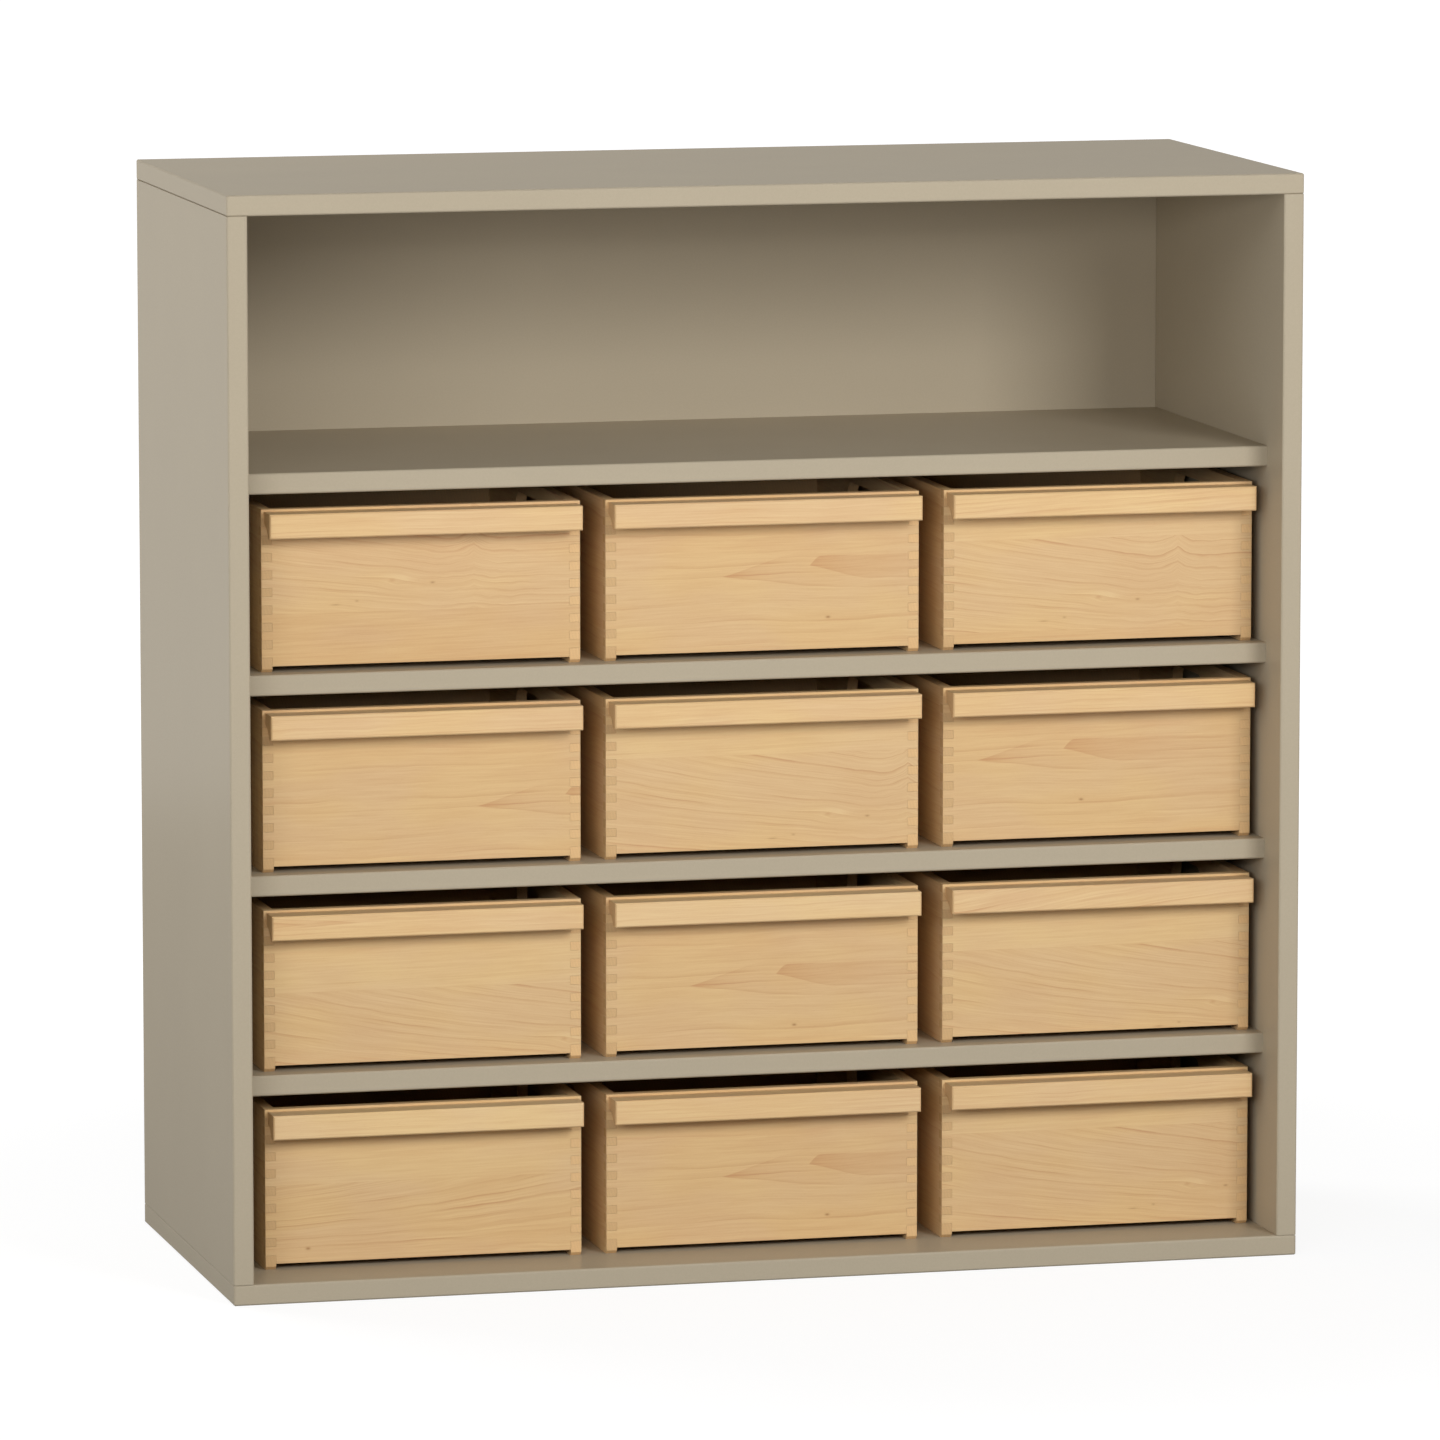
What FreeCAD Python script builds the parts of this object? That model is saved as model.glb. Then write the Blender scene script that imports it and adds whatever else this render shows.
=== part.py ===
import FreeCAD
import Part
import math
import os

# An open-fronted board cabinet with fixed shelves, three columns of sliding wooden trays
# and one open compartment above them. X runs to the right, Y to the back and Z up.
# The origin is on the floor, under the middle of the cabinet, so the trays face minus Y.

# Cabinet boards
cabinet_width = 1016.0
cabinet_depth = 428.0
panel_thickness = 19.0
back_thickness = 19.0
shelf_thickness = 19.0
shelf_setback = 48.0
shelf_housing = 6.0
panel_chamfer = 1.2

# Bays, from the top of one board to the underside of the next
row_count = 4
column_count = 3
tray_bay_height = 166.0
top_bay_height = 239.0

# Loose tongues that join the panels, half in each of the two
tongue_thickness = 6.0
tongue_width = 18.0
tongue_end_margin = 40.0
tongue_clearance = 0.1

# Room left round the trays in their bays
tray_left_gap = 24.5
tray_right_gap = 8.5
tray_gap = 24.0
tray_top_gap = 16.0
tray_back_gap = 2.0
tray_setback = 67.0

# Tray boards
tray_board = 10.0
tray_foot = 5.5
tray_foot_chamfer = 3.0
finger_count = 18
rear_rebate = 5.0

# Tray bottoms, let into grooves in the four boards
bottom_thickness = 5.0
bottom_rise = 6.0
bottom_groove = 5.0
bottom_clearance = 0.2

# Hand slots through the side boards
slot_length = 96.0
slot_height = 30.0
slot_drop = 14.0

# Handle strip across the front of each tray
handle_inset = 3.0
handle_height = 22.6
handle_depth = 25.0
handle_drop = 2.2
handle_neck = 11.4
handle_cove_radius = 19.0
handle_chamfer = 1.2

# Sizes and places that follow
row_pitch = tray_bay_height + shelf_thickness
shelf_tops = [panel_thickness + row_pitch * (row + 1) for row in range(row_count)]
floor_tops = [panel_thickness] + shelf_tops[:-1]
side_height = row_pitch * row_count + top_bay_height
cabinet_height = side_height + 2 * panel_thickness
inner_width = cabinet_width - 2 * panel_thickness
left = -cabinet_width / 2
front = -cabinet_depth / 2
inner_left = left + panel_thickness
back_face = -front - back_thickness
tray_face = front + tray_setback
tray_depth = back_face - tray_back_gap - tray_face
tray_row_gaps = tray_left_gap + tray_right_gap + (column_count - 1) * tray_gap
tray_width = (inner_width - tray_row_gaps) / column_count
tray_height = tray_bay_height - tray_top_gap
tray_front_height = tray_height - tray_foot
finger_height = tray_front_height / finger_count


def vector(x, y, z):
    return FreeCAD.Vector(x, y, z)


def block(x, y, z, width, depth, height):
    """A box from its lower left front corner and its three sizes."""
    return Part.makeBox(width, depth, height, vector(x, y, z))


def save(name, *solids):
    """One STEP file, with one solid or with a group of separate ones."""
    shape = solids[0] if len(solids) == 1 else Part.Compound(list(solids))
    shape.exportStep(f"parts/{name}.step")


def edges_along(shape, direction, test):
    """Straight edges along a direction whose middle passes the test."""
    found = []
    for edge in shape.Edges:
        start, end = edge.Vertexes[0].Point, edge.Vertexes[-1].Point
        run = end - start
        if run.Length > 0 and abs(run.dot(direction)) > 0.999 * run.Length and test((start + end) * 0.5):
            found.append(edge)
    return found


def arc_edge(start, middle, end):
    return Part.Arc(start, middle, end).toShape()


def line_edge(start, end):
    return Part.LineSegment(start, end).toShape()


# Cabinet panels and the loose tongues between them

def tongue(x, y, z, width, depth, height):
    """A loose tongue as (strip, groove): the groove is larger by the glue clearance."""
    clear = tongue_clearance
    strip = block(x, y, z, width, depth, height)
    groove = block(x - clear, y - clear, z - clear, width + 2 * clear, depth + 2 * clear, height + 2 * clear)
    return strip, groove


def panel_tongues():
    """Tongues in the joint planes: along each side's ends and round the back panel."""
    half = tongue_width / 2
    inset = (panel_thickness - tongue_thickness) / 2
    back_inset = (back_thickness - tongue_thickness) / 2
    side_run = cabinet_depth - back_thickness - 2 * tongue_end_margin
    back_run = inner_width - 2 * tongue_end_margin
    upright_run = side_height - 2 * tongue_end_margin
    joint_heights = (panel_thickness, panel_thickness + side_height)
    side_joints = [
        tongue(x, front + tongue_end_margin, z - half, tongue_thickness, side_run, tongue_width)
        for z in joint_heights
        for x in (left + inset, -left - inset - tongue_thickness)
    ]
    back_joints = [
        tongue(inner_left + tongue_end_margin, back_face + back_inset, z - half,
               back_run, tongue_thickness, tongue_width)
        for z in joint_heights
    ]
    back_joints += [
        tongue(x - half, back_face + back_inset, panel_thickness + tongue_end_margin,
               tongue_width, tongue_thickness, upright_run)
        for x in (inner_left, -inner_left)
    ]
    return side_joints, back_joints


def outer_panel(z):
    """Top or bottom panel, with all its edges eased."""
    panel = block(left, front, z, cabinet_width, cabinet_depth, panel_thickness)
    return panel.makeChamfer(panel_chamfer, panel.Edges)


def side_panel(x):
    """Side panel between top and bottom, with eased edges and a housing for each shelf end."""
    panel = block(x, front, panel_thickness, panel_thickness, cabinet_depth, side_height)
    uprights = edges_along(panel, vector(0, 0, 1), lambda middle: True)
    panel = panel.makeChamfer(panel_chamfer, uprights)
    return panel.cut([shelf(z) for z in shelf_tops])


def shelf(top):
    """Shelf housed in both sides, up against the back panel, with its front edges eased."""
    x = inner_left - shelf_housing
    y = front + shelf_setback
    board = block(x, y, top - shelf_thickness, -2 * x, back_face - y, shelf_thickness)
    front_edges = edges_along(board, vector(1, 0, 0), lambda middle: middle.y < y + 1)
    return board.makeChamfer(panel_chamfer, front_edges)


def build_cabinet():
    side_joints, back_joints = panel_tongues()
    grooves = [groove for strip, groove in side_joints + back_joints]
    back = block(inner_left, back_face, panel_thickness, inner_width, back_thickness, side_height)
    save("bottom_panel", outer_panel(0).cut(grooves))
    save("top_panel", outer_panel(cabinet_height - panel_thickness).cut(grooves))
    save("left_side", side_panel(left).cut(grooves))
    save("right_side", side_panel(-inner_left).cut(grooves))
    save("back_panel", back.cut(grooves))
    save("side_tongues", *[strip for strip, groove in side_joints])
    save("back_tongues", *[strip for strip, groove in back_joints])
    for number, top in enumerate(reversed(shelf_tops), start=1):
        save(f"shelf_{number}", shelf(top))


# One tray, with its lower left front corner at the origin

def finger_steps(is_finger, lowest):
    """One end of a finger-jointed board: pairs of reach and height, from the bottom up."""
    steps = []
    for index in range(finger_count):
        reach = 0.0 if is_finger(index) else tray_board
        low = tray_foot + index * finger_height
        steps.append((reach, lowest if index == 0 else low))
        steps.append((reach, low + finger_height))
    return steps


def tray_bottom(grow):
    """Thin bottom panel; grown by its clearance, it is also the cutter for its grooves."""
    edge = tray_board - bottom_groove + bottom_clearance - grow
    return block(edge, edge, tray_foot + bottom_rise - grow,
                 tray_width - 2 * edge, tray_depth - 2 * edge, bottom_thickness + 2 * grow)


def tray_front():
    """Front board, with a row of fingers down each end."""
    steps = finger_steps(lambda index: index % 2 == 1, tray_foot)
    corners = [vector(reach, 0, height) for reach, height in steps]
    corners += [vector(tray_width - reach, 0, height) for reach, height in reversed(steps)]
    board = Part.Face(Part.makePolygon(corners + corners[:1])).extrude(vector(0, tray_board, 0))
    return board.cut(tray_bottom(bottom_clearance))


def tray_back():
    """Back board, held in a rebate at the rear end of each side board."""
    board = block(rear_rebate, tray_depth - tray_board, tray_foot,
                  tray_width - 2 * rear_rebate, tray_board, tray_front_height)
    return board.cut(tray_bottom(bottom_clearance))


def hand_slot(x):
    """Cutter for the hand slot in a side board: straight runs with round ends."""
    radius = slot_height / 2
    middle = vector(x, tray_depth / 2, tray_height - slot_drop - radius)
    reach = vector(0, slot_length / 2 - radius, 0)
    up = vector(0, 0, radius)
    tip = vector(0, radius, 0)
    near, far = middle - reach, middle + reach
    edges = [
        line_edge(near + up, far + up),
        arc_edge(far + up, far + tip, far - up),
        line_edge(far - up, near - up),
        arc_edge(near - up, near - tip, near + up),
    ]
    return Part.Face(Part.Wire(edges)).extrude(vector(tray_board, 0, 0))


def tray_side():
    """Left side board: fingers in front, a rebate behind, eased feet and a hand slot."""
    steps = finger_steps(lambda index: index % 2 == 0, 0.0)
    corners = [vector(0, reach, height) for reach, height in steps]
    corners += [vector(0, tray_depth, tray_height), vector(0, tray_depth, 0)]
    board = Part.Face(Part.makePolygon(corners + corners[:1])).extrude(vector(tray_board, 0, 0))
    feet = edges_along(board, vector(1, 0, 0), lambda middle: middle.z < tray_foot / 2)
    board = board.makeChamfer(tray_foot_chamfer, feet)
    rebate = block(rear_rebate, tray_depth - tray_board, tray_foot, tray_board, tray_board, tray_height)
    return board.cut([rebate, tray_bottom(bottom_clearance), hand_slot(0)])


def tray_handle():
    """Handle strip with a cove under its back, for the fingertips."""
    top = tray_height - handle_drop
    low = top - handle_height
    neck = top - handle_neck
    cove_centre = neck - handle_cove_radius
    cove_reach = math.sqrt(handle_cove_radius ** 2 - (low - cove_centre) ** 2)
    half_turn = 0.5 * math.atan2(cove_reach, low - cove_centre)
    cove_middle = vector(0, -handle_cove_radius * math.sin(half_turn),
                         cove_centre + handle_cove_radius * math.cos(half_turn))
    back_top = vector(0, 0, top)
    front_top = vector(0, -handle_depth, top)
    front_low = vector(0, -handle_depth, low)
    lip = vector(0, -cove_reach, low)
    back_low = vector(0, 0, neck)
    edges = [
        line_edge(back_top, front_top),
        line_edge(front_top, front_low),
        line_edge(front_low, lip),
        arc_edge(lip, cove_middle, back_low),
        line_edge(back_low, back_top),
    ]
    strip = Part.Face(Part.Wire(edges)).extrude(vector(tray_width - 2 * handle_inset, 0, 0))
    strip.translate(vector(handle_inset, 0, 0))
    face_edges = [edge for edge in strip.Edges if edge.BoundBox.YMax < 0.01 - handle_depth]
    return strip.makeChamfer(handle_chamfer, face_edges)


def build_trays():
    side = tray_side()
    other_side = side.mirror(vector(tray_width / 2, 0, 0), vector(1, 0, 0))
    pieces = {
        "front": [tray_front()],
        "handle": [tray_handle()],
        "walls": [side, other_side, tray_back()],
        "bottom": [tray_bottom(0.0)],
    }
    for row, floor in enumerate(reversed(floor_tops), start=1):
        for column in range(1, column_count + 1):
            x = inner_left + tray_left_gap + (column - 1) * (tray_width + tray_gap)
            place = vector(x, tray_face, floor)
            for name, solids in pieces.items():
                save(f"tray_r{row}c{column}_{name}", *[solid.translated(place) for solid in solids])


os.makedirs("parts", exist_ok=True)
build_cabinet()
build_trays()
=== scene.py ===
import bpy
import math
from dataclasses import dataclass
from mathutils import Euler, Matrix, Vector


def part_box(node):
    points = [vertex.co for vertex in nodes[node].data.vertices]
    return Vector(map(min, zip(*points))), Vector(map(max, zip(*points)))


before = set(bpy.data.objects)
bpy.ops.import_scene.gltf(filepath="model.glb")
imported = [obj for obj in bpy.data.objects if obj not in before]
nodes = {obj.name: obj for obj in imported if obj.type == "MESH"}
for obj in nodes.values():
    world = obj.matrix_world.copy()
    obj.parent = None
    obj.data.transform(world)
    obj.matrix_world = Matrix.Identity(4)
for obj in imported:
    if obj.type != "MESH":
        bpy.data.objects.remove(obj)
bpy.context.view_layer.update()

# Camera, solved from the cabinet's corners in the photograph
CAMERA_PLACE = (-2.2613, -8.9077, 1.7512)
CAMERA_TURN = -0.2491
CAMERA_PITCH = 0.1358
CAMERA_LENS = 246.6

# Colours, linear
PAINT = (0.462, 0.396, 0.291)
MAPLE = (0.688, 0.468, 0.239)
STRIP_MAPLE = (0.745, 0.511, 0.266)
BEECH = (0.52, 0.33, 0.19)
FIGURE_TINT = (0.89, 0.79, 0.76)
END_TINT = (1.0, 0.965, 0.935)
FLECK_TINT = (0.62, 0.48, 0.40)
YELLOWER = (1.012, 1.002, 0.965)
PINKER = (0.995, 0.988, 1.020)
WHITE = (1.0, 1.0, 1.0)

# Trays, in millimetres: the sizes that the materials follow
TRAY_WIDTH = 299.0
TRAY_DEPTH = 340.0
BOARD = 10.0
REBATE = 5.0
FINGER = 144.5 / 18
FOOT = 5.5

# Maple: how much each mark adds to a board's tone, which is 0 on bare wood and 1 in a full growth line
GROWTH_LINE = 1.35
FINE_LINE = 0.38
LINE_LEVEL = -0.2
RING_TIP = 1.35
FIBRE = 0.75
STRAND = 1.4
RAY = 0.18
CLOUD = 0.55
GLUE_LINE = 0.25
PLAIN_STAVE = 0.5
TONE_LIMITS = (-0.6, 1.6)

# Where the growth lines of a knotted board rise to a crest, in millimetres along the board from its knot
CREST = 75.0
CREST_START = 35.0

# Distance between the planks that the boards are cut from, in millimetres: by column and by row
PLANK_COLUMN = 311.0
PLANK_ROW = 1270.0

# Stage, in metres: where the backdrop starts behind the cabinet, and the strengths that reflections see
BACKDROP_START = 2.93
FLOOR_GLOSS = 0.36
BACKDROP_GLOSS = 0.96
WORLD_GLOSS = 0.60

# Floor as the camera sees it: its own glow near the cabinet and away from it, over which distance, and its grey
FLOOR_GLOW = (0.84, 1.0)
GLOW_REACH = (0.7, 2.0)
FLOOR_GREY = (0.22, 0.22, 0.22)

# Light that the floor gives back, near the cabinet and away from it, and light of the world's bright band
FLOOR_NEAR = 0.20
FLOOR_AWAY = 0.49
BOUNCE_REACH = (0.6, 1.2)
WORLD_BAND = 1.38
BAND_LOW = (0.20, 0.30)
BAND_HIGH = (0.50, 0.60)


class Shader:
    """The node tree of a material or world, with short calls for the nodes that it needs."""

    def __init__(self, owner, kind="Material"):
        self.owner = owner
        owner.use_nodes = True
        self.tree = owner.node_tree
        self.tree.nodes.clear()
        self.output = self.tree.nodes.new("ShaderNodeOutput" + kind)

    def put(self, socket, value):
        if isinstance(value, bpy.types.NodeSocket):
            self.tree.links.new(value, socket)
        else:
            socket.default_value = value

    def node(self, kind, inputs=None, **settings):
        node = self.tree.nodes.new("ShaderNode" + kind)
        for key, value in settings.items():
            setattr(node, key, value)
        for key, value in (inputs or {}).items():
            self.put(node.inputs[key], value)
        return node

    def math(self, operation, first, second=0.0, third=0.0):
        return self.node("Math", {0: first, 1: second, 2: third}, operation=operation).outputs[0]

    def add(self, *terms):
        total = terms[0]
        for term in terms[1:]:
            total = self.math("ADD", total, term)
        return total

    def times(self, *factors):
        total = factors[0]
        for factor in factors[1:]:
            total = self.math("MULTIPLY", total, factor)
        return total

    def blend(self, factor, first, second):
        return self.node("Mix", {0: factor, 2: first, 3: second}, data_type="FLOAT").outputs[0]

    def colour(self, factor, first, second, kind="MIX"):
        """Mix of two colours. A factor below 0 or above 1 goes on past them."""
        inputs = {0: factor, 6: first, 7: second}
        return self.node("Mix", inputs, data_type="RGBA", blend_type=kind, clamp_factor=False).outputs[2]

    def vector(self, factor, first, second):
        return self.node("Mix", {0: factor, 4: first, 5: second}, data_type="VECTOR").outputs[1]

    def scaled(self, colour, factor):
        return self.node("VectorMath", {0: colour, "Scale": factor}, operation="SCALE").outputs[0]

    def ramp(self, value, low, high, start=0.0, end=1.0, smooth=True):
        kind = "SMOOTHSTEP" if smooth else "LINEAR"
        node = self.node("MapRange", {0: value, 1: low, 2: high, 3: start, 4: end}, interpolation_type=kind)
        return node.outputs[0]

    def split(self, vector):
        return self.node("SeparateXYZ", {0: vector}).outputs

    def join(self, x, y, z):
        return self.node("CombineXYZ", {0: x, 1: y, 2: z}).outputs[0]

    def millimetres(self, origin):
        """Object coordinates in millimetres from a point. They move with the part."""
        place = self.node("TexCoord").outputs["Object"]
        back = tuple(-value for value in origin)
        inputs = {0: place, 1: (1000, 1000, 1000), 2: back}
        return self.node("VectorMath", inputs, operation="MULTIPLY_ADD", name="origin").outputs[0]

    def noise(self, place, lengths, seed=0.0, detail=2.0, roughness=0.5):
        """Noise about zero, from -0.5 to 0.5, stretched to a length along each axis."""
        scale = tuple(1 / length for length in lengths)
        shift = (seed, 1.7 * seed, 0.6 * seed)
        moved = self.node("VectorMath", {0: place, 1: scale, 2: shift}, operation="MULTIPLY_ADD").outputs[0]
        node = self.node("TexNoise", {"Vector": moved, "Scale": 1.0, "Detail": detail, "Roughness": roughness})
        return self.math("SUBTRACT", node.outputs[0], 0.5)

    def drift(self, value, length, seed):
        """Noise about zero that follows one value."""
        moved = self.math("MULTIPLY_ADD", value, 1 / length, seed)
        node = self.node("TexNoise", noise_dimensions="1D")
        for key, setting in (("W", moved), ("Scale", 1.0), ("Detail", 0.0)):
            self.put(node.inputs[key], setting)
        return self.math("SUBTRACT", node.outputs[0], 0.5)

    def bell(self, value, width):
        """Bell curve of a value about zero, with its half width."""
        return self.math("EXPONENT", self.times(self.math("POWER", self.times(value, 1 / width), 2.0), -1.0))

    def bump(self, u, v, along, across):
        """Bell shape about the origin of u and v, with its two half widths."""
        return self.times(self.bell(u, along), self.bell(v, across))

    def decay(self, value, length):
        """1 at zero and below, and fading over a length above it."""
        return self.math("EXPONENT", self.times(self.math("MAXIMUM", value, 0.0), -1 / length))

    def edges(self, radius):
        """Rounded normal at the edges, and how near an edge is, from 0 to 1."""
        rounded = self.node("Bevel", {"Radius": radius}, samples=3).outputs[0]
        flat = self.node("NewGeometry").outputs["Normal"]
        facing = self.node("VectorMath", {0: rounded, 1: flat}, operation="DOT_PRODUCT").outputs["Value"]
        return rounded, self.ramp(facing, 0.995, 0.80)

    def relief(self, strength, distance, height, normal):
        inputs = {"Strength": strength, "Distance": distance, "Height": height, "Normal": normal}
        return self.node("Bump", inputs).outputs[0]

    def emission(self, strength):
        return self.node("Emission", {"Color": rgba(WHITE), "Strength": strength}).outputs[0]

    def seen(self):
        """1 for camera rays, and 1 for all rays that look at the backdrop, which adds reflection and transmission."""
        path = self.node("LightPath").outputs
        mirrored = self.math("MAXIMUM", path["Is Glossy Ray"], path["Is Transmission Ray"])
        return path["Is Camera Ray"], self.math("MAXIMUM", path["Is Camera Ray"], mirrored)

    def surface(self, shader):
        self.put(self.output.inputs["Surface"], shader)
        return self.owner

    def finish(self, **inputs):
        shader = self.node("BsdfPrincipled", {key.replace("_", " "): value for key, value in inputs.items()})
        return self.surface(shader.outputs[0])


def rgba(colour):
    return (*colour, 1.0)


def tinted(colour, tint):
    return tuple(value * share for value, share in zip(colour, tint))


def lacquer():
    """Satin greige lacquer: fine orange peel, faint clouding, and slightly rubbed edges whose lightening is partly
    wear and partly a painted highlight.
    """
    s = Shader(bpy.data.materials.new("greige_lacquer"))
    place = s.millimetres((0, 0, 0))
    rounded, edge = s.edges(0.0012)
    cloud = s.noise(place, (160, 160, 160), 3.1, 2.0)
    speckle = s.noise(place, (1.6, 1.6, 1.6), 7.7, 0.0)
    peel = s.noise(place, (2.4, 2.4, 2.4), 5.2, 1.0)
    wave = s.noise(place, (22, 22, 22), 9.4, 1.0)
    # Edges lightened by up to a tenth: partly rubbed paint, partly a painted highlight along the edges
    rub_and_highlight = s.times(edge, s.ramp(wave, -0.1, 0.15, 0.3, 1.0))
    tone = s.add(1.0, s.times(cloud, 0.05), s.times(speckle, 0.05), s.times(rub_and_highlight, 0.10))
    gloss = s.add(0.23, s.times(cloud, 0.06), s.times(speckle, 0.05), s.times(rub_and_highlight, -0.04))
    height = s.add(s.times(peel, 0.02), s.times(wave, 0.03))
    relief = s.relief(0.35, 0.001, height, rounded)
    return s.finish(Base_Color=s.scaled(PAINT, tone), Roughness=0.6, Specular_IOR_Level=0.0, Normal=relief,
                    Coat_Weight=0.30, Coat_Roughness=gloss, Coat_Normal=relief)


# The figure of a board. Places and lengths are in millimetres, along and across the board.

@dataclass
class Tongue:
    """A pointed growth ring, with its tip from the figure's anchor."""
    tip: tuple
    upper: tuple  # slope of the upper side, and the height where it levels out
    lower: tuple  # the same of the lower side
    fill: float  # darkness of the tip
    fill_run: float  # length over which the filling fades, and so do the lines along the two sides
    upper_run: float
    lower_run: float
    turn: float = 1.0  # 1 opens to the right, -1 to the left


@dataclass
class Stave:
    """A plain stave that is glued on beyond a seam, which is given from the board's lower edge."""
    seam: float
    above: bool
    tone: float
    seed: float


@dataclass
class Fleck:
    """A dark mark, from the figure's anchor, with its half width and half height."""
    along: float
    across: float
    width: float
    height: float
    dark: float


@dataclass
class Figure:
    """How the growth lines run over a board."""
    anchor: tuple = (0, 0)  # from the lower left corner of the tray's front
    lean: float = 0.0  # slope of the lines, and its change with the height
    fan: float = 0.0
    width: float = 7.0  # usual distance between the lines
    strength: float = 1.0
    wander: float = 6.0  # how far the lines stray
    crest: float = 0.0  # rise of the lines at the crest
    knot: bool = False
    tongues: tuple = ()
    flecks: tuple = ()
    staves: tuple = ()
    strands: float = 1.0  # strength of the broader fibres
    seed: float = 1.0
    tone: float = 0.0
    turn: float = 1.0  # side on which a line is sharp: 1 above, -1 below


CATHEDRAL_TONGUES = (
    Tongue((0, 0), (0.30, 60.0), (0.125, 13.0), 1.05, 30.0, 52.0, 230.0),
    Tongue((83.5, 8.7), (1.05, 8.3), (0.26, 13.5), 0.85, 75.0, 60.0, 200.0),
)
CATHEDRAL_FLECKS = (Fleck(101, -40, 2.0, 1.1, 1.0),)
KNOTTED_FLECKS = (Fleck(36, -3, 2.0, 1.0, 0.7), Fleck(-55, -21, 4.0, 0.7, 0.5), Fleck(-35, -18, 1.6, 0.9, 0.5))
SWEPT_FLECKS = (Fleck(-92, -60, 2.0, 1.2, 1.0),)


def cathedral(anchor):
    return Figure(anchor, lean=0.01, width=13.0, strength=0.75, wander=9.0, tongues=CATHEDRAL_TONGUES,
                  flecks=CATHEDRAL_FLECKS, seed=4.0, turn=-1.0)


def knotted(anchor, *staves):
    return Figure(anchor, lean=-0.12, fan=-0.0010, width=6.5, strength=1.25, crest=11.0, knot=True,
                  flecks=KNOTTED_FLECKS, staves=staves, seed=9.0)


def swept(anchor, *staves):
    return Figure(anchor, lean=0.13, fan=0.0019, width=8.0, strength=1.6, wander=3.0,
                  flecks=SWEPT_FLECKS, staves=staves, seed=13.0)


def straight(lean=0.0, seed=1.0, width=5.0, strength=0.9, wander=4.0, **more):
    return Figure(lean=lean, seed=seed, width=width, strength=strength, wander=wander, **more)


def bend(s, place, figure):
    """A board's coordinates bent along its growth lines."""
    u, v, t = s.split(place)
    wander = s.times(s.noise(place, (150, 60, 70), figure.seed, 1.0), figure.wander)
    ripple = s.times(s.noise(place, (40, 16, 40), figure.seed + 2, 1.0), 3.0)
    run = s.math("SMOOTH_MIN", u, CREST - CREST_START, 20.0) if figure.crest else u
    slope = s.math("MULTIPLY_ADD", v, figure.fan, figure.lean)
    across = s.add(v, s.times(run, slope, -1.0), wander, ripple, s.times(t, 0.2))
    if figure.crest:
        off = s.math("ABSOLUTE", s.add(u, -CREST))
        peak = s.add(s.times(s.decay(off, 15.0), 1.3), s.times(s.bell(off, 40.0), -0.6))
        across = s.add(across, s.times(peak, s.ramp(v, -15.0, 55.0, 0.25, 1.0), -figure.crest))
        curl = s.times(s.noise(place, (17, 9, 30), figure.seed + 4, 1.0), s.bell(off, 60.0))
        across = s.add(across, s.times(curl, 6.0))
    if figure.knot:
        across = s.add(across, s.times(s.bump(u, v, 18.0, 10.0), v, -0.6))
    return s.join(u, across, t)


def growth_lines(s, bent, figure):
    """Growth lines of uneven width and strength, each soft on one side and sharp on the other."""
    across = s.times(s.split(bent)[1], figure.turn)
    drift = s.times(s.drift(across, 2.3 * figure.width, figure.seed), 1.1)
    count = s.math("MULTIPLY_ADD", across, 1 / figure.width, drift)
    number = s.add(s.math("FLOOR", count), figure.seed)
    pick = s.node("TexWhiteNoise", noise_dimensions="1D")
    s.put(pick.inputs["W"], number)
    share = s.ramp(pick.outputs["Value"], 0.0, 1.0, 0.2, 1.0, smooth=False)
    line = s.times(s.math("POWER", s.math("FRACT", count), 5.0), share)
    fine = s.math("POWER", s.math("FRACT", s.times(count, 2.7)), 3.0)
    fade = s.ramp(s.noise(bent, (90, 7, 30), figure.seed + 3, 0.0), -0.12, 0.14, 0.25, 1.0)
    return s.times(s.add(s.times(line, GROWTH_LINE), s.times(fine, FINE_LINE), LINE_LEVEL), fade)


def ring_tip(s, u, v, tongue):
    """Darkness of a pointed growth ring: filled at its tip, with lines along its sides."""
    along = s.times(s.add(u, -tongue.tip[0]), tongue.turn)
    height = s.add(v, -tongue.tip[1])
    top = s.math("SMOOTH_MIN", s.times(along, tongue.upper[0]), tongue.upper[1], 5.0)
    low = s.math("SMOOTH_MIN", s.times(along, tongue.lower[0]), tongue.lower[1], 5.0)
    upper = s.math("SUBTRACT", top, height)
    lower = s.add(low, height)
    edge = s.ramp(s.math("MINIMUM", upper, lower), -0.4, 0.5)
    upper_line = s.times(s.decay(upper, 1.6), s.bell(along, tongue.upper_run))
    lower_line = s.times(s.decay(lower, 2.0), s.bell(along, tongue.lower_run), 0.8)
    fill = s.times(s.decay(along, tongue.fill_run), tongue.fill)
    return s.times(edge, s.math("MAXIMUM", fill, s.math("MAXIMUM", upper_line, lower_line)))


def ring_tips(s, place, figure):
    """Tone of a board with its pointed growth rings, whose sides are a little uneven."""
    u, v, t = s.split(place)
    uneven = s.add(v, s.times(s.noise(place, (30, 14, 30), figure.seed + 11, 1.0), 2.0))
    tone = figure.tone
    for tongue in figure.tongues:
        tone = s.add(s.times(ring_tip(s, u, uneven, tongue), RING_TIP), tone)
    return tone


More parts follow.
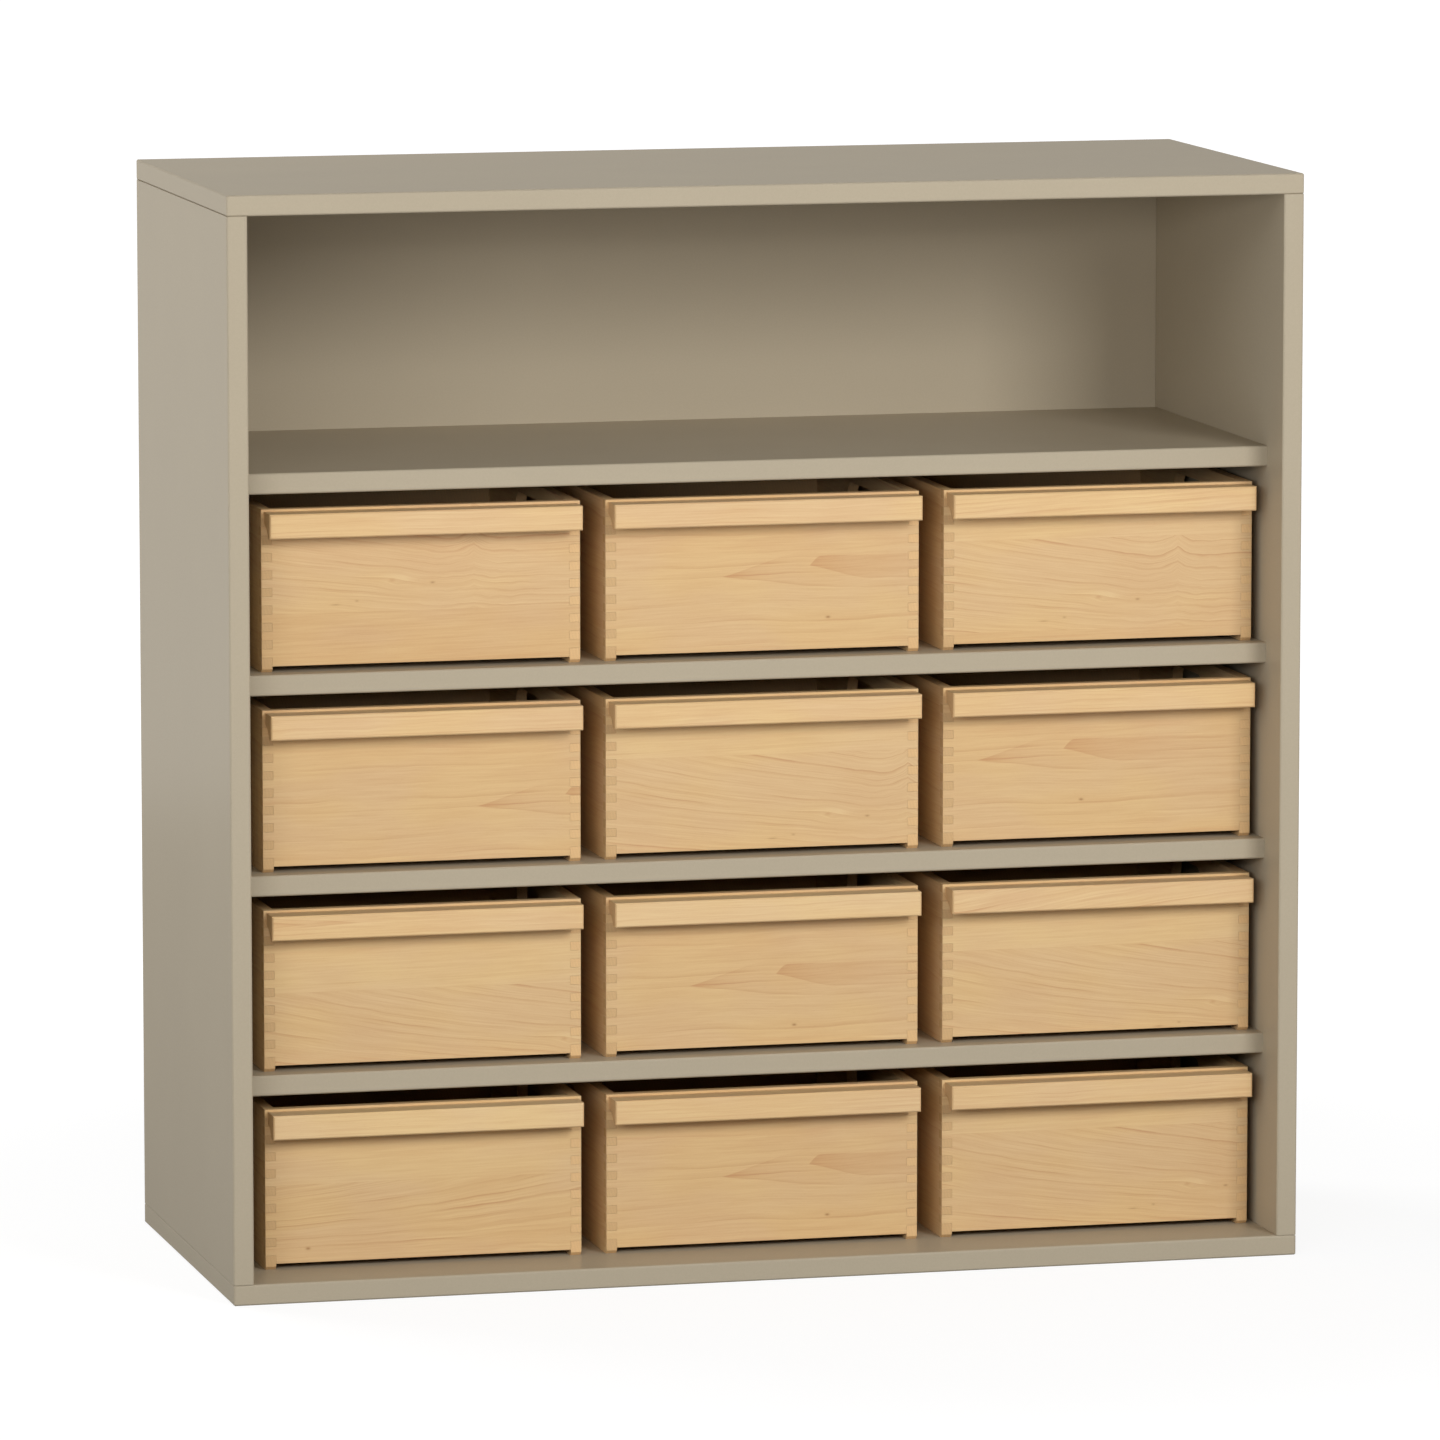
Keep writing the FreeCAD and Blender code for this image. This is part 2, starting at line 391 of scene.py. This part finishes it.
def glue_staves(s, place, bent, figure, tone):
    """A board's bent coordinates, line strength and tone, with its plain staves glued on."""
    u, v, t = s.split(place)
    strength = figure.strength
    for stave in figure.staves:
        level = s.add(v, figure.anchor[1] - stave.seam)
        beyond = s.math("GREATER_THAN" if stave.above else "LESS_THAN", level, 0.0)
        plain = s.join(s.add(u, 37.0 * stave.seed), s.add(v, s.times(u, -0.02), 11.0 * stave.seed), t)
        bent = s.vector(beyond, bent, plain)
        strength = s.blend(beyond, strength, PLAIN_STAVE)
        glue = s.math("LESS_THAN", s.math("ABSOLUTE", level), 0.25)
        tone = s.add(s.blend(beyond, tone, stave.tone), s.times(glue, GLUE_LINE))
    return bent, strength, tone


def end_grain(s, spot, place, cloud, pores, base):
    """Colour of the end grain, with painted shade that darkens the left ends and painted light that brightens the
    right ones.
    """
    u, v, t = s.split(place)
    arcs = s.math("SINE", s.times(s.add(t, s.times(v, 0.25), s.times(cloud, 6.0)), 2.1))
    # Painted shade on the left ends and painted light on the right ones, from 0.90 to 1.06 across the tray
    side = s.ramp(s.split(spot)[0], 0.0, TRAY_WIDTH, 0.90, 1.06, smooth=False)
    return s.scaled(tinted(base, END_TINT), s.add(side, s.times(pores, 0.18), s.times(arcs, 0.02)))


def finger_seams(s, spot):
    """1 on the thin lines between the fingers, at both ends of a tray's front."""
    x, y, z = s.split(spot)
    level = s.math("PINGPONG", s.add(z, -FOOT), FINGER / 2)
    from_middle = s.math("ABSOLUTE", s.add(x, -TRAY_WIDTH / 2))
    return s.times(s.math("LESS_THAN", level, 0.12), s.math("GREATER_THAN", from_middle, TRAY_WIDTH / 2 - BOARD))


def maple(name, place_of, figure, base=MAPLE, fingers=False):
    """Maple board with its own growth lines, staves, fibres, flecks, end grain and rubbed edges."""
    s = Shader(bpy.data.materials.new(name))
    spot, whole, end = place_of(s)
    anchor = (-figure.anchor[0], -figure.anchor[1], 0)
    place = s.node("VectorMath", {0: whole, 1: anchor}, operation="ADD", name="anchor").outputs[0]
    u, v, t = s.split(place)
    bent = bend(s, place, figure)
    tone = ring_tips(s, place, figure) if figure.tongues else figure.tone
    bent, strength, tone = glue_staves(s, place, bent, figure, tone)

    # Growth lines, fibres, ray flecks and clouding, and the swirl of a knot
    fibre = s.noise(bent, (26, 0.55, 1.2), figure.seed + 5, 1.0, 0.6)
    strand = s.noise(bent, (70, 2.2, 4.0), figure.seed + 6, 2.0, 0.6)
    ray = s.ramp(s.noise(bent, (3.4, 0.5, 1.5), figure.seed + 7, 0.0), 0.14, 0.26)
    cloud = s.noise(place, (70, 32, 40), figure.seed + 8, 1.0)
    tone = s.add(tone, s.times(growth_lines(s, bent, figure), strength), s.times(fibre, FIBRE),
                 s.times(strand, STRAND * figure.strands), s.times(ray, RAY), s.times(cloud, CLOUD))
    if figure.knot:
        tone = s.add(tone, s.times(s.bump(s.add(u, -4.0), s.add(v, -1.5), 14.0, 4.0), -0.8))
        tone = s.add(tone, s.times(s.bump(s.add(u, 2.0), v, 3.0, 1.6), 1.0))

    # Colour
    low, high = TONE_LIMITS
    tone_share = s.ramp(tone, low, high, low, high, smooth=False)
    shade = s.colour(tone_share, rgba(base), rgba(tinted(base, FIGURE_TINT)))
    warm = s.ramp(s.noise(place, (110, 45, 60), figure.seed + 10, 1.0), -0.16, 0.16)
    shade = s.colour(1.0, shade, s.colour(warm, rgba(YELLOWER), rgba(PINKER)), "MULTIPLY")
    for fleck in figure.flecks:
        mark = s.bump(s.add(u, -fleck.along), s.add(v, -fleck.across), fleck.width, fleck.height)
        darker = s.colour(1.0, shade, rgba(FLECK_TINT), "MULTIPLY")
        shade = s.colour(s.times(mark, fleck.dark), shade, darker)
    pores = s.noise(spot, (0.8, 0.8, 0.8), figure.seed + 9, 1.0, 0.6)
    shade = s.colour(end, shade, end_grain(s, spot, place, cloud, pores, base))
    rounded, edge = s.edges(0.0009)
    worn = s.times(edge, s.ramp(strand, -0.15, 0.15, 0.4, 1.0))
    rubbed = tuple(min(1.0, value * 1.22) for value in base)
    shade = s.colour(s.times(worn, 0.14), shade, rgba(rubbed))
    if fingers:
        shade = s.colour(s.times(finger_seams(s, spot), 0.18), shade, rgba(FLECK_TINT), "MULTIPLY")

    # Gloss and relief
    rough = s.add(0.43, s.times(fibre, 0.14), s.times(cloud, 0.08), s.times(end, 0.16), s.times(worn, -0.05))
    height = s.add(s.times(fibre, 0.30), s.times(ray, -0.10), s.times(tone, -0.10), s.times(pores, end, 0.5))
    relief = s.relief(0.30, 0.00012, height, rounded)
    return s.finish(Base_Color=shade, Roughness=rough, Specular_IOR_Level=0.16, Normal=relief)


def another(material, name, origin, anchor):
    """The same kind of board elsewhere, cut from another stretch of the plank."""
    copy = material.copy()
    copy.name = name
    shader_nodes = copy.node_tree.nodes
    shader_nodes["origin"].inputs[2].default_value = tuple(-value for value in origin)
    shader_nodes["anchor"].inputs[1].default_value = (-anchor[0], -anchor[1], 0)
    return copy


# Where a board lies. Each of these gives the place in the tray, the place along, across and through the board,
# and 1 on the board's end grain.

def facing(s, axis):
    """1 where the part's own normal points along an axis."""
    normal = s.split(s.node("TexCoord").outputs["Normal"])[axis]
    return s.math("GREATER_THAN", s.math("ABSOLUTE", normal), 0.7)


def across_board(origin):
    """Front boards and handle strips: grain along X."""
    def place_of(s):
        spot = s.millimetres(origin)
        x, y, z = s.split(spot)
        return spot, s.join(x, z, y), facing(s, 0)
    return place_of


def wall_boards(origin):
    """Side boards with grain along Y, and the back board with grain along X."""
    def place_of(s):
        spot = s.millimetres(origin)
        x, y, z = s.split(spot)
        from_middle = s.math("ABSOLUTE", s.add(x, -TRAY_WIDTH / 2))
        inside = s.math("LESS_THAN", from_middle, TRAY_WIDTH / 2 - REBATE - 0.01)
        back = s.times(inside, s.math("GREATER_THAN", y, TRAY_DEPTH - BOARD + 0.01))
        far = s.math("GREATER_THAN", x, TRAY_WIDTH / 2)
        side_place = s.join(s.add(y, s.times(far, 700.0)), z, x)
        place = s.vector(back, side_place, s.join(x, z, y))
        return spot, place, s.blend(back, facing(s, 1), facing(s, 0))
    return place_of


def bottom_board(origin):
    """Tray bottoms: grain along X, seen from above."""
    def place_of(s):
        spot = s.millimetres(origin)
        return spot, spot, facing(s, 0)
    return place_of


def dress(node, material):
    slots = nodes[node].data.materials
    slots.clear()
    slots.append(material)


# Figure of each tray front, by row and column
FRONTS = {
    (1, 1): knotted((124, 76), Stave(47.8, False, 0.30, 3.1)),
    (1, 2): cathedral((111, 69.5)),
    (1, 3): knotted((152, 40), Stave(96, True, -0.32, 3.3), Stave(10, False, 0.15, 3.7)),
    (2, 1): cathedral((201, 49)),
    (2, 2): knotted((214, 30), Stave(88, True, -0.35, 4.1)),
    (2, 3): cathedral((33, 75)),
    (3, 1): knotted((285, 14), Stave(67, True, -0.32, 4.3)),
    (3, 2): cathedral((79, 58)),
    (3, 3): knotted((266, 23), Stave(81, True, -0.35, 4.7)),
    (4, 1): swept((132, 73), Stave(73, True, -0.22, 5.1)),
    (4, 2): cathedral((111, 62)),
    (4, 3): knotted((242, 35), Stave(92.5, True, -0.32, 5.3)),
}

# Handle strips that stand out from the plain ones
STRIP_TONGUES = (
    Tongue((86, 134.5), (0.075, 20.0), (0.06, 20.0), 0.75, 45.0, 90.0, 90.0, turn=-1.0),
    Tongue((35, 134.0), (0.09, 20.0), (0.08, 20.0), 0.5, 30.0, 60.0, 60.0, turn=-1.0),
)
STRIPS = {
    (1, 3): straight(0.05, 63.0, 6.0, 1.1),
    (3, 1): straight(0.0, 67.0, 6.0, 0.6, tongues=STRIP_TONGUES),
    (3, 2): straight(0.01, 68.0, strength=0.6, tone=-0.30),
    (3, 3): straight(0.12, 69.0, 9.0, 1.4, 8.0, strands=1.1),
    (4, 1): straight(0.0, 70.0, strength=0.6, tone=-0.35),
}

cabinet_lacquer = lacquer()
for name in nodes:
    if not name.startswith(("tray_", "side_tongues", "back_tongues")):
        dress(name, cabinet_lacquer)
tongue_beech = maple("tongue_beech", across_board((0, 0, 0)), straight(0.0, 80.0), base=BEECH)
dress("side_tongues", tongue_beech)
dress("back_tongues", tongue_beech)

# Boards of one kind are copies of the first, each with its own corner and anchor
first = {}


def board(kind, name, place_of, origin, figure, **more):
    if kind in first:
        return another(first[kind], name, origin, figure.anchor)
    material = maple(name, place_of(origin), figure, **more)
    if kind:
        first[kind] = material
    return material


for row, column in FRONTS:
    tray = f"tray_r{row}c{column}"
    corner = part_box(f"{tray}_front")[0]
    origin = tuple(1000 * value for value in corner)
    away = PLANK_COLUMN * column + PLANK_ROW * row
    front, strip = FRONTS[row, column], STRIPS.get((row, column))
    kind = None if front.staves else "cathedral"
    dress(f"{tray}_front", board(kind, f"{tray}_front_maple", across_board, origin, front, fingers=True))
    kind = None if strip else "strip"
    strip = strip or straight(0.008, 61.0, 4.6, 0.9, 6.0, anchor=(away, 7.3 * row + 2.9 * column))
    dress(f"{tray}_handle", board(kind, f"{tray}_handle_maple", across_board, origin, strip, base=STRIP_MAPLE))
    walls = straight(0.012, 21.0, 9.0, 0.9, 10.0, anchor=(away, 4.1 * column))
    dress(f"{tray}_walls", board("walls", f"{tray}_walls_maple", wall_boards, origin, walls, fingers=True))
    bottom = straight(0.03, 25.0, 12.0, 0.9, 20.0, anchor=(away, 45.0 * row))
    dress(f"{tray}_bottom", board("bottom", f"{tray}_bottom_maple", bottom_board, origin, bottom))


def floor_material():
    """White to the camera, with the object's shadow, and a plain studio floor and backdrop in reflections."""
    s = Shader(bpy.data.materials.new("floor_white"))
    camera_ray, seen = s.seen()
    x, y, z = s.split(s.node("TexCoord").outputs["Object"])
    distance = s.math("SQRT", s.add(s.math("POWER", x, 2.0), s.math("POWER", y, 2.0)))
    mirrored = s.blend(s.math("GREATER_THAN", y, BACKDROP_START), FLOOR_GLOSS, BACKDROP_GLOSS)
    glow = s.emission(s.blend(camera_ray, mirrored, s.ramp(distance, *GLOW_REACH, *FLOOR_GLOW)))
    grey = s.node("BsdfDiffuse", {"Color": rgba(FLOOR_GREY)}).outputs[0]
    both = s.node("AddShader", {0: glow, 1: grey}).outputs[0]
    bounce = s.emission(s.ramp(distance, *BOUNCE_REACH, FLOOR_NEAR, FLOOR_AWAY))
    return s.surface(s.node("MixShader", {0: seen, 1: bounce, 2: both}).outputs[0])


def light_world():
    """White to the camera, dimmer in reflections, and with a soft bright band of light above the horizon."""
    world = bpy.data.worlds.new("studio")
    bpy.context.scene.world = world
    s = Shader(world, "World")
    camera_ray, seen = s.seen()
    rise = s.split(s.node("TexCoord").outputs["Generated"])[2]
    band = s.times(s.ramp(rise, *BAND_LOW), s.ramp(rise, *BAND_HIGH, 1.0, 0.0), WORLD_BAND)
    strength = s.blend(seen, band, s.blend(camera_ray, WORLD_GLOSS, 1.0))
    s.surface(s.node("Background", {"Color": rgba(WHITE), "Strength": strength}).outputs[0])


def softbox(name, place, target, size, power):
    light = bpy.data.lights.new(name, "AREA")
    light.shape = "RECTANGLE"
    light.size, light.size_y = size
    light.energy = power
    lamp = bpy.data.objects.new(name, light)
    lamp.location = place
    lamp.rotation_euler = (Vector(target) - Vector(place)).to_track_quat("-Z", "Y").to_euler()
    bpy.context.scene.collection.objects.link(lamp)


bpy.ops.mesh.primitive_plane_add(size=40)
floor = bpy.context.object
floor.name = "floor"
floor.data.materials.append(floor_material())
light_world()

# Lamps: a key at the front right, a fill at the front left, one at the left and one behind
softbox("key", (1.53, -4.11, 2.17), (0.2, 0, 0.85), (1.25, 1.15), 85)
softbox("fill", (-2.1, -4.0, 1.4), (0, 0, 0.6), (2.6, 0.6), 53)
softbox("left", (-4.4, -1.2, 1.3), (0, 0, 0.6), (2.0, 1.4), 16)
softbox("back", (-2.0, 2.4, 3.6), (0, 0, 0.6), (2.0, 2.0), 69)

camera = bpy.data.cameras.new("camera")
camera.lens = CAMERA_LENS
camera.sensor_width = 36
camera.clip_end = 100
eye = bpy.data.objects.new("camera", camera)
eye.location = CAMERA_PLACE
eye.rotation_euler = Euler((math.pi / 2 - CAMERA_PITCH, 0, CAMERA_TURN))
bpy.context.scene.collection.objects.link(eye)
bpy.context.scene.camera = eye
bpy.context.scene.view_settings.view_transform = "Standard"
